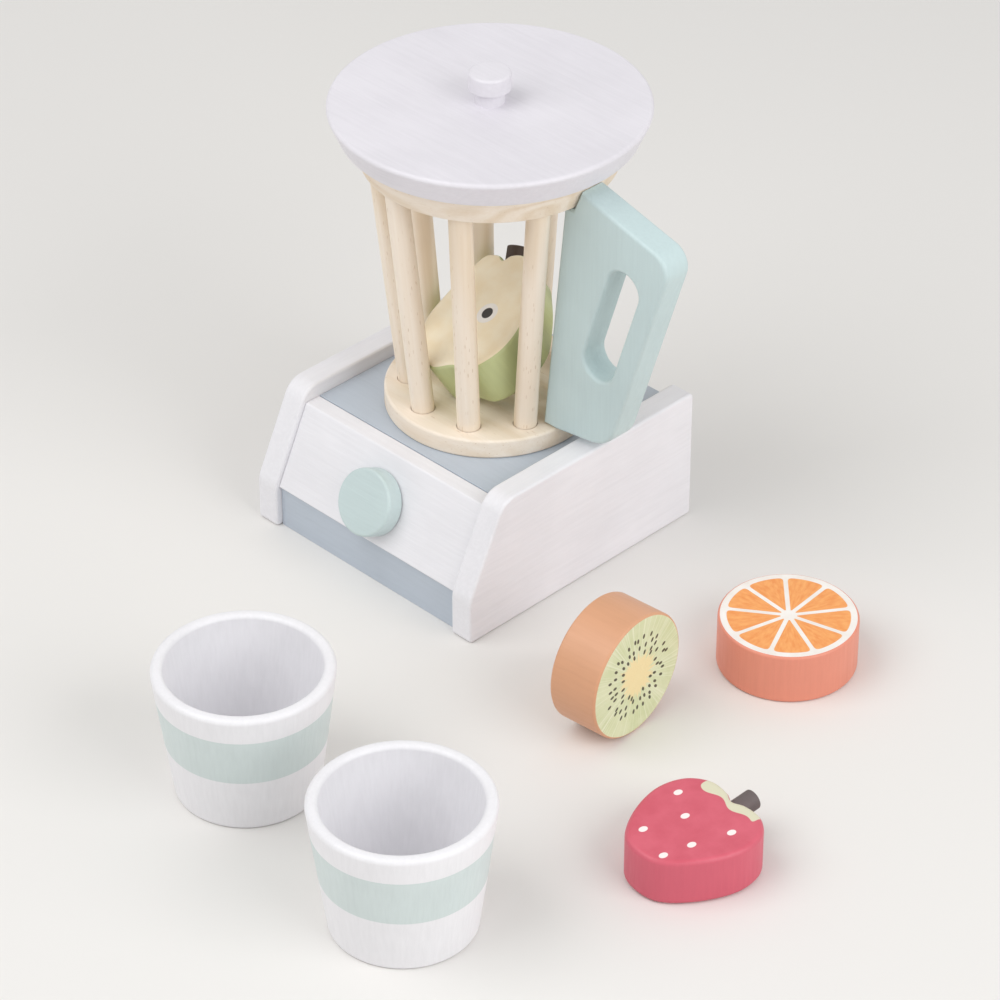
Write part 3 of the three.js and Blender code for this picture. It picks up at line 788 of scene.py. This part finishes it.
handle_outline = rounded([
    (dowel_side(circle_bottom), foot_height),
    (disc_radius, foot_height),
    (heel.x, heel.y, heel_round),
    (shoulder.x, shoulder.y, shoulder_round),
    (ring_bottom_radius + ring_cover * ring_slope + ring_clear, handle_top),
    (ring_bottom_radius + ring_clear, ring_bottom - seat_gap),
    (dowel_side(circle_top), ring_bottom - seat_gap),
], flats=12)
outer_edge = (shoulder - heel).normalized()
inward = Vector((-outer_edge.y, outer_edge.x))
grip_low = heel + outer_edge * grip_start + inward * (grip_wall + grip_radius)
grip_high = grip_low + outer_edge * grip_span
grip_turn = math.atan2(inward.y, inward.x)
grip_steps = 20
grip = []
for centre, start in ((grip_high, grip_turn), (grip_low, grip_turn - math.pi)):
    for k in range(grip_steps + 1):
        angle = start - math.pi * k / grip_steps
        grip.append(centre + Vector((math.cos(angle), math.sin(angle))) * grip_radius)
sage_paint = painted_wood("sage_paint", "#c7dadb", along=2)
handle = board("handle", [handle_outline, grip], handle_thickness, handle_round, sage_paint, flats=5)
# Turns the handle's own XY into the toy's XZ, with its thickness along Y
upright = Matrix(((1, 0, 0, 0), (0, 0, -1, 0), (0, 1, 0, 0), (0, 0, 0, 1)))
handle.data.transform(Matrix.Translation(jar_base + Vector((0, handle_thickness / 2, 0))) @ upright)
bored(
    handle,
    drill_bit(peg_radius + seat_gap, (lower_peg.x, lower_peg.y, plate_top + disc_thickness - peg_socket),
              (lower_peg.x, lower_peg.y, plate_top + foot_height + peg_socket + seat_gap)),
    drill_bit(peg_radius + seat_gap, (peg_inner_end.x, upper_peg.y, upper_peg.z),
              (peg_outer_end.x + seat_gap, upper_peg.y, upper_peg.z)),
)
smoothed(handle)
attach(handle, "jar")
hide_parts("jar_handle")
refinished("handle_peg_lower", wood_upright)
refinished("handle_peg_upper", wood_across)


# Lid: a flat disc with a tapering side, its white paint darkened as painted shade, with a bare plug glued
# below that drops into the ring. A small turned knob stands in its middle on a peg that runs through the lid
# into the plug.
lid_bottom_radius = 0.0597
lid_top_radius = 0.065
lid_thickness = 0.012
lid_round = 0.0015
plug_depth = 0.005
plug_radius = bore_radius - loose_gap
knob_peg_radius = 0.003
plug_peg_socket = 0.0035
knob_peg_socket = 0.006
peg_hole = knob_peg_radius + seat_gap
plug_hole_depth = plug_peg_socket + seat_gap
knob_hole_depth = knob_peg_socket + seat_gap
neck_radius = 0.006
neck_height = 0.0057
head_radius = 0.0085
head_height = 0.0076
knob_edge = 0.0008
# Painted shade: the lid and its knob take a darker copy of the white paint, standing in for shade on the
# lid's top
lid_paint_with_painted_shade = painted_wood("lid_paint_with_painted_shade", "#e6e3e9", along=0)
lid_base = jar_base + Vector((0, 0, ring_top))
lid_parts = {
    "lid_board": ("lid_disc", "white_paint", lid_paint_with_painted_shade, True, rounded([
        (peg_hole, 0), (lid_bottom_radius, 0, sanded), (lid_top_radius, lid_thickness, lid_round),
        (peg_hole, lid_thickness),
    ])),
    "lid_plug_disc": ("lid_plug", "bare_wood", wood_across, False, rounded([
        (0, -plug_depth), (plug_radius, -plug_depth, sanded), (plug_radius, 0), (peg_hole, 0),
        (peg_hole, -plug_hole_depth), (0, -plug_hole_depth),
    ], closed=False)),
    "knob": ("lid_knob", "white_paint", lid_paint_with_painted_shade, False, rounded([
        (0, lid_thickness + knob_hole_depth), (peg_hole, lid_thickness + knob_hole_depth),
        (peg_hole, lid_thickness), (neck_radius, lid_thickness),
        (neck_radius, lid_thickness + neck_height, knob_edge),
        (head_radius, lid_thickness + neck_height, knob_edge),
        (head_radius, lid_thickness + neck_height + head_height, sanded),
        (0, lid_thickness + neck_height + head_height),
    ], closed=False)),
}
for name, (cad, slot, finish, is_ring, section) in lid_parts.items():
    part = turned(name, section, finish, ring=is_ring, steps=wide_steps)
    part.location = lid_base
    smoothed(part)
    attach(part, "lid")
    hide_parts(cad)
refinished("lid_knob_peg", wood_upright)


# Pear piece: a thick slice sawn to a pear's outline, its sides painted green and its cut face cream with
# one pip. A short dark peg is glued in for the stem, its paint darker still for painted shade. It rests in
# the jar where the dowels close in.
def smooth_loop(shares, width, length, steps=10):
    """A smooth closed curve through points given as shares of a width and a length"""
    knots = [Vector((x * width, y * length)) for x, y in shares]
    count = len(knots)
    points = []
    for i in range(count):
        p = [knots[(i + k - 1) % count] for k in range(4)]
        gaps = [math.sqrt((p[k + 1] - p[k]).length) for k in range(3)]
        leave = (p[1] - p[0]) / gaps[0] - (p[2] - p[0]) / (gaps[0] + gaps[1]) + (p[2] - p[1]) / gaps[1]
        reach = (p[2] - p[1]) / gaps[1] - (p[3] - p[1]) / (gaps[1] + gaps[2]) + (p[3] - p[2]) / gaps[2]
        leave, reach = leave * gaps[1], reach * gaps[1]
        for k in range(steps):
            t = k / steps
            points.append(
                p[1] + leave * t + (3 * (p[2] - p[1]) - 2 * leave - reach) * t ** 2
                + (2 * (p[1] - p[2]) + leave + reach) * t ** 3
            )
    return points


def both_sides(half_outline):
    """An outline with its right half mirrored to the left"""
    return half_outline + [(-x, y) for x, y in reversed(half_outline[1:-1])]


def fruit_slice(name, shares, width, length, thickness, skin, cut_face, stem_skin, stem_rise, stem_share):
    """A slice lying on its own XY plane with its cut face up, and its stem beside it"""
    piece = board(name, [smooth_loop(both_sides(shares), width, length)], thickness, slice_round,
                  skin, cut_face)
    socket = Vector((0, shares[-1][1] * length, thickness * stem_share))
    lean = Vector((0, math.cos(stem_rise), math.sin(stem_rise)))
    foot = socket - lean * (stem_socket + seat_gap)
    bored(piece, drill_bit(stem_radius + seat_gap, foot, socket + lean * stem_length))
    for face in piece.data.polygons:
        if face.normal.z > cut_face_lean:
            face.material_index = 1
    section = rounded([
        (0, -stem_socket), (stem_radius, -stem_socket),
        (stem_radius, stem_length - stem_socket, stem_edge), (0, stem_length - stem_socket),
    ], closed=False)
    stem = turned(name.replace("slice", "stem"), section, stem_skin, steps=narrow_steps)
    stem.matrix_world = Matrix.Translation(socket) @ Matrix.Rotation(stem_rise - math.pi / 2, 4, "X")
    return piece, stem


def face_print(name, along, gloss=0.4):
    """A finish for a printed cut face: the material, its tree, its shader and the place on the face"""
    finish, tree, shader = new_finish(name)
    shader.inputs["Roughness"].default_value = gloss
    place = node(tree, "TexCoord").outputs["Object"]
    raise_grain(tree, shader, drawn_out(tree, place, along, print_fibre_pitch, fibre_stretch))
    return finish, tree, shader, place


def speckled(tree, place, first, second, pitch):
    """One printed colour drifting softly into another"""
    drift = node(tree, "TexNoise", {"Vector": place, "Scale": pitch, "Detail": 4.0}).outputs[0]
    share = ramp(tree, drift, drift_low, drift_high)
    return blended(tree, share, colour_of(first), colour_of(second))


def inked(tree, under, ink, amount):
    """A colour printed over another where the amount is 1"""
    top = ink if isinstance(ink, bpy.types.NodeSocket) else colour_of(ink)
    return blended(tree, amount, under, top)


def edge_of(tree, value, at, soft):
    """1 where a value is past a limit and 0 before it, with a soft edge"""
    return ramp(tree, value, at - soft, at + soft)


def within(tree, value, limit, soft):
    """1 where a value is below a limit and 0 past it, with a soft edge"""
    return reckon(tree, "SUBTRACT", 1.0, edge_of(tree, value, limit, soft))


print_fibre_pitch = 600.0
drift_low = 0.35
drift_high = 0.65
slice_round = 0.0022
cut_face_lean = 0.8
stem_radius = 0.0041
stem_length = 0.0155
stem_socket = 0.0045
stem_edge = 0.0007
pear_width = 0.0498
pear_length = 0.0578
pear_thickness = 0.024
pear_rise = math.radians(25)
pear_roll = math.radians(-20)
pear_heading = math.radians(110)
pear_shift = 0.0014
pear_stem_rise = math.radians(25)
pear_stem_share = 0.6
pear_shares = [
    (0, -0.48), (0.2, -0.5), (0.42, -0.34), (0.5, -0.1), (0.42, 0.14),
    (0.31, 0.34), (0.19, 0.49), (0.06, 0.49), (0, 0.45),
]
pip_ring = 0.0049
pip_radius = 0.0026
pip_aside = 0.0057
pip_along = -0.0015
ink_edge = 0.0001
flesh_pitch = 90.0

# Painted shade: the pear's stem takes a darker copy of the stem paint, for the shade it sits in under the
# lid
pear_stem_shaded_paint = painted_wood("pear_stem_paint_with_painted_shade", "#493b34", along=2, gloss=0.55)
pear_skin = painted_wood("pear_skin_paint", "#c9d29c", along=2)
pear_face, tree, shader, place = face_print("pear_cut_face", along=1)
flesh = speckled(tree, place, "#fdf4dc", "#f8eacb", flesh_pitch)
from_pip = node(tree, "VectorMath", {
    0: place, 1: (pip_aside, pip_along, pear_thickness),
}, operation="DISTANCE").outputs["Value"]
ringed = within(tree, from_pip, pip_ring, ink_edge)
pipped = within(tree, from_pip, pip_radius, ink_edge)
printed = inked(tree, inked(tree, flesh, "#f3f1ee", ringed), "#26221f", pipped)
tree.links.new(printed, shader.inputs["Base Color"])

pear, pear_stem = fruit_slice(
    "pear_cut_slice", pear_shares, pear_width, pear_length, pear_thickness, pear_skin, pear_face,
    pear_stem_shaded_paint, pear_stem_rise, pear_stem_share,
)
turn = Matrix.Rotation(pear_heading - math.pi / 2, 4, "Z")
turn = turn @ Matrix.Rotation(pear_rise, 4, "X") @ Matrix.Rotation(pear_roll, 4, "Y")
middle_of_slab = turn @ Vector((0, 0, pear_thickness / 2))
lowest = min((turn @ v.co).z for v in pear.data.vertices)
pear_spot = Matrix.Translation((
    pear_shift * math.cos(pear_heading) - middle_of_slab.x,
    pear_shift * math.sin(pear_heading) - middle_of_slab.y + jar_y,
    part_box("pear_slice")[0].z - lowest,
)) @ turn
for part, cad, slot in ((pear, "pear_slice", "pear_paint"), (pear_stem, "pear_stem", "stem_paint")):
    part.matrix_world = pear_spot @ part.matrix_world
    smoothed(part)
    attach(part, "pear")
    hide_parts(cad)


# Cups: two turned beakers, hollowed from the top, painted white with a pale sage band round the middle.
# The band is masked and painted, so that it is flush with the white.
cup_height = 0.0565
cup_top = 0.0353
cup_bottom = 0.028
cup_wall = 0.005
cup_floor = 0.006
rim_round = 0.002
cup_inner_round = 0.003
band_low_share = 0.43
band_high_share = 0.8


def cup_outer(height):
    """A cup's outer radius at a height"""
    return cup_bottom + (cup_top - cup_bottom) * height / cup_height


cup_white = painted_wood("cup_white_paint", "#f0eff2", along=2)
cup_band = painted_wood("cup_band_paint", "#d4dfde", along=2)
band_low = cup_height * band_low_share
band_high = cup_height * band_high_share
cup_section = rounded([
    (0, 0), (cup_bottom, 0, sanded),
    (cup_outer(band_low), band_low), (cup_outer(band_high), band_high),
    (cup_top, cup_height, rim_round), (cup_top - cup_wall, cup_height, rim_round),
    (cup_outer(cup_floor) - cup_wall, cup_floor, cup_inner_round), (0, cup_floor),
], closed=False)
for number in (1, 2):
    cad = f"cup_{number}"
    beaker = turned(f"beaker_{number}", cup_section, cup_white, cup_band, steps=wide_steps)
    for face in beaker.data.polygons:
        outward = face.normal.x * face.center.x + face.normal.y * face.center.y > 0
        if outward and band_low < face.center.z < band_high:
            face.material_index = 1
    spot = middle_of(cad)
    beaker.location = (spot.x, spot.y, 0)
    smoothed(beaker)
    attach(beaker, cad)
    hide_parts(cad)


# Kiwi and orange: round slices of a thick dowel, their rims painted and their cut faces printed. The
# kiwi stands on its rim with its face away from the base, and the orange lies flat.
def round_slice(name, radius, thickness, skin, cut_face):
    """A round slice about its own Z axis, with its cut face at the top"""
    section = rounded([
        (0, 0), (radius, 0, sanded), (radius, thickness, sanded), (0, thickness),
    ], closed=False)
    piece = turned(name, section, skin, cut_face, steps=wide_steps)
    for face in piece.data.polygons:
        if face.normal.z > flat_lean:
            face.material_index = 1
    return piece


def length_of(tree, vector):
    """The length of a vector"""
    return node(tree, "VectorMath", {0: vector}, operation="LENGTH").outputs["Value"]


def span_of(tree, x, y):
    """The length of the vector with this x and y"""
    return length_of(tree, node(tree, "CombineXYZ", {0: x, 1: y}).outputs[0])


def polar(tree, place):
    """The distance from a face's middle, and the angle round it"""
    split = node(tree, "SeparateXYZ", {0: place}).outputs
    return span_of(tree, split[0], split[1]), reckon(tree, "ARCTAN2", split[1], split[0])


def round_place(tree, angle, pitch, outward=0.0):
    """A place for noise that goes round with an angle and meets itself without a seam"""
    return node(tree, "CombineXYZ", {
        0: reckon(tree, "MULTIPLY", reckon(tree, "COSINE", angle), pitch),
        1: reckon(tree, "MULTIPLY", reckon(tree, "SINE", angle), pitch),
        2: outward,
    }).outputs[0]


flat_lean = 0.99
orange_radius = 0.028
orange_thickness = 0.022
segment_count = 9
segment_rim = 0.0245
segment_core = 0.0033
segment_round = 0.003
segment_turn = math.radians(15)
membrane = 0.0018
pulp_rays = 14.0
pulp_length = 0.0038
pith_pitch = 120.0
orange_skin = painted_wood("orange_skin_paint", "#e8937b", along=2)
orange_face, tree, shader, place = face_print("orange_cut_face", along=2)
distance, angle = polar(tree, place)
turns = reckon(tree, "MULTIPLY", angle, segment_count / (2 * math.pi))
aside = reckon(tree, "ABSOLUTE", reckon(tree, "SUBTRACT", reckon(tree, "FRACT", turns), 0.5))
from_wall = reckon(tree, "MULTIPLY", reckon(tree, "SUBTRACT", 0.5, aside), 2 * math.pi / segment_count)
from_wall = reckon(tree, "SUBTRACT", reckon(tree, "MULTIPLY", from_wall, distance), membrane / 2)
from_rim = reckon(tree, "SUBTRACT", segment_rim, distance)
from_core = reckon(tree, "SUBTRACT", distance, segment_core)
inside = reckon(tree, "SMOOTH_MIN", from_wall, from_rim, segment_round)
inside = reckon(tree, "MINIMUM", inside, from_core)
juicy = edge_of(tree, inside, 0.0, ink_edge)
streak_place = round_place(tree, angle, pulp_rays, reckon(tree, "DIVIDE", distance, pulp_length))
pulp = speckled(tree, streak_place, "#f7ac63", "#ef964d", 1.0)
pith = speckled(tree, place, "#f7f3ee", "#efe8e0", pith_pitch)
tree.links.new(inked(tree, pith, pulp, juicy), shader.inputs["Base Color"])
orange = round_slice("orange_cut_slice", orange_radius, orange_thickness, orange_skin, orange_face)
spot = middle_of("orange_slice")
orange.matrix_world = Matrix.Translation((spot.x, spot.y, 0)) @ Matrix.Rotation(segment_turn, 4, "Z")
smoothed(orange)
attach(orange, "orange")
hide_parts("orange_slice")

kiwi_radius = 0.0265
kiwi_thickness = 0.022
kiwi_facing = math.radians(5)
kiwi_heart = 0.0092
heart_waver = 0.015
heart_edge = 0.0011
ray_pitch = 8.0
fine_ray_pitch = 3.5
fine_ray_low = 0.5
fine_ray_high = 0.75
drift_pitch = 110.0
seed_spacing = 0.0035
seeds_from = 0.0088
seeds_to = 0.0180
seed_half_length = 0.0011
seed_half_width = 0.00064
seed_scatter = 0.62
seed_edge = 0.12
kiwi_skin = painted_wood("kiwi_skin_paint", "#dba37e", along=2)
kiwi_face, tree, shader, place = face_print("kiwi_cut_face", along=2)
distance, angle = polar(tree, place)
ray_place = round_place(tree, angle, ray_pitch)
rays = node(tree, "TexNoise", {"Vector": ray_place, "Scale": 1.0, "Detail": 2.0}).outputs[0]
fine_rays = node(tree, "TexNoise", {"Vector": ray_place, "Scale": fine_ray_pitch, "Detail": 1.0}).outputs[0]
fine_rays = ramp(tree, fine_rays, fine_ray_low, fine_ray_high)
flesh = speckled(tree, place, "#dce0b8", "#d0d7a8", drift_pitch)
flesh = inked(tree, flesh, "#e8ebcd", fine_rays)
heart_reach = reckon(tree, "MULTIPLY_ADD", rays, heart_waver, kiwi_heart - heart_waver / 2)
in_heart = edge_of(tree, reckon(tree, "SUBTRACT", heart_reach, distance), 0.0, heart_edge)
heart = inked(tree, flesh, "#f1dea8", in_heart)
face_place = node(tree, "VectorMath", {0: place, 1: (1, 1, 0)}, operation="MULTIPLY").outputs[0]
seed_place = node(tree, "TexVoronoi", {
    "Vector": face_place, "Scale": 1 / seed_spacing, "Randomness": seed_scatter,
}, voronoi_dimensions="2D").outputs["Position"]
reach = length_of(tree, seed_place)
outward = node(tree, "VectorMath", {0: seed_place}, operation="NORMALIZE").outputs[0]
off_seed = node(tree, "VectorMath", {0: face_place, 1: seed_place}, operation="SUBTRACT").outputs[0]
lengthwise = node(tree, "VectorMath", {0: off_seed, 1: outward}, operation="DOT_PRODUCT").outputs["Value"]
sideways = node(tree, "VectorMath", {0: off_seed, 1: outward}, operation="CROSS_PRODUCT").outputs[0]
lengthwise = reckon(tree, "DIVIDE", lengthwise, seed_half_length)
sideways = reckon(tree, "DIVIDE", length_of(tree, sideways), seed_half_width)
seed = within(tree, span_of(tree, lengthwise, sideways), 1.0, seed_edge)
in_band = reckon(tree, "COMPARE", reach, (seeds_from + seeds_to) / 2, (seeds_to - seeds_from) / 2)
seeded = inked(tree, heart, "#4b4630", reckon(tree, "MULTIPLY", seed, in_band))
tree.links.new(seeded, shader.inputs["Base Color"])
kiwi = round_slice("kiwi_cut_slice", kiwi_radius, kiwi_thickness, kiwi_skin, kiwi_face)
spot = middle_of("kiwi_slice")
kiwi.matrix_world = (
    Matrix.Translation((spot.x, spot.y, kiwi_radius))
    @ Matrix.Rotation(kiwi_facing, 4, "Z") @ Matrix.Rotation(math.pi / 2, 4, "Y")
    @ Matrix.Translation((0, 0, -kiwi_thickness / 2))
)
smoothed(kiwi)
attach(kiwi, "kiwi")
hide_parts("kiwi_slice")


# Strawberry: a thick slice sawn to a berry's outline and painted red all over, with white seeds and a
# cream leaf edge printed on its cut face. A dark peg is glued in for the stem.
berry_width = 0.0486
berry_length = 0.0498
berry_thickness = 0.0205
berry_turn = math.radians(-6)
berry_stem_rise = math.radians(8)
berry_stem_share = 0.68
berry_shares = [
    (0, -0.5), (0.2, -0.45), (0.4, -0.2), (0.5, 0.12), (0.44, 0.36),
    (0.28, 0.48), (0.1, 0.48), (0, 0.44),
]
seed_marks = [(-0.016, 0.009), (-0.004, 0.002), (-0.008, -0.015), (0.010, -0.007), (0.014, 0.009),
              (0.008, -0.019)]
mark_radius = 0.0014
mark_stretch = 1.35
leaf_from = 0.0184
leaf_reach = 0.0145
leaf_wave = 0.0012
leaf_round = 0.003
berry_stem_skin = painted_wood("berry_stem_paint", "#665b5a", along=2, gloss=0.55)
berry_skin = painted_wood("berry_skin_paint", "#d55f71", along=2)
berry_face, tree, shader, place = face_print("berry_cut_face", along=1)
place = node(tree, "Mapping", {"Vector": place, "Rotation": (0, 0, -berry_turn)}).outputs[0]
printed = speckled(tree, place, "#d86173", "#cf5668", drift_pitch)
split = node(tree, "SeparateXYZ", {0: place}).outputs
for x, y in seed_marks:
    aside = reckon(tree, "SUBTRACT", split[0], x)
    ahead = reckon(tree, "DIVIDE", reckon(tree, "SUBTRACT", split[1], y), mark_stretch)
    mark = within(tree, span_of(tree, aside, ahead), mark_radius, ink_edge)
    printed = inked(tree, printed, "#fbf1ee", mark)
wave = reckon(tree, "SINE", reckon(tree, "MULTIPLY", split[0], 2 * math.pi / leaf_reach))
above = reckon(tree, "MULTIPLY_ADD", wave, leaf_wave, reckon(tree, "SUBTRACT", split[1], leaf_from))
beside = reckon(tree, "SUBTRACT", leaf_reach, reckon(tree, "ABSOLUTE", split[0]))
leaf = edge_of(tree, reckon(tree, "SMOOTH_MIN", above, beside, leaf_round), 0.0, ink_edge)
printed = inked(tree, printed, "#ddd9bd", leaf)
tree.links.new(printed, shader.inputs["Base Color"])
berry, berry_stem = fruit_slice(
    "berry_cut_slice", berry_shares, berry_width, berry_length, berry_thickness, berry_skin, berry_face,
    berry_stem_skin, berry_stem_rise, berry_stem_share,
)
berry_x = 0.216
berry_y = -0.103
berry_spot = Matrix.Translation((berry_x, berry_y, 0))
for part, cad, slot in (
    (berry, "strawberry_slice", "berry_paint"), (berry_stem, "strawberry_stem", "stem_paint"),
):
    part.data.transform(Matrix.Rotation(berry_turn, 4, "Z") @ part.matrix_world)
    part.matrix_world = berry_spot
    smoothed(part)
    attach(part, "strawberry")
    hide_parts(cad)
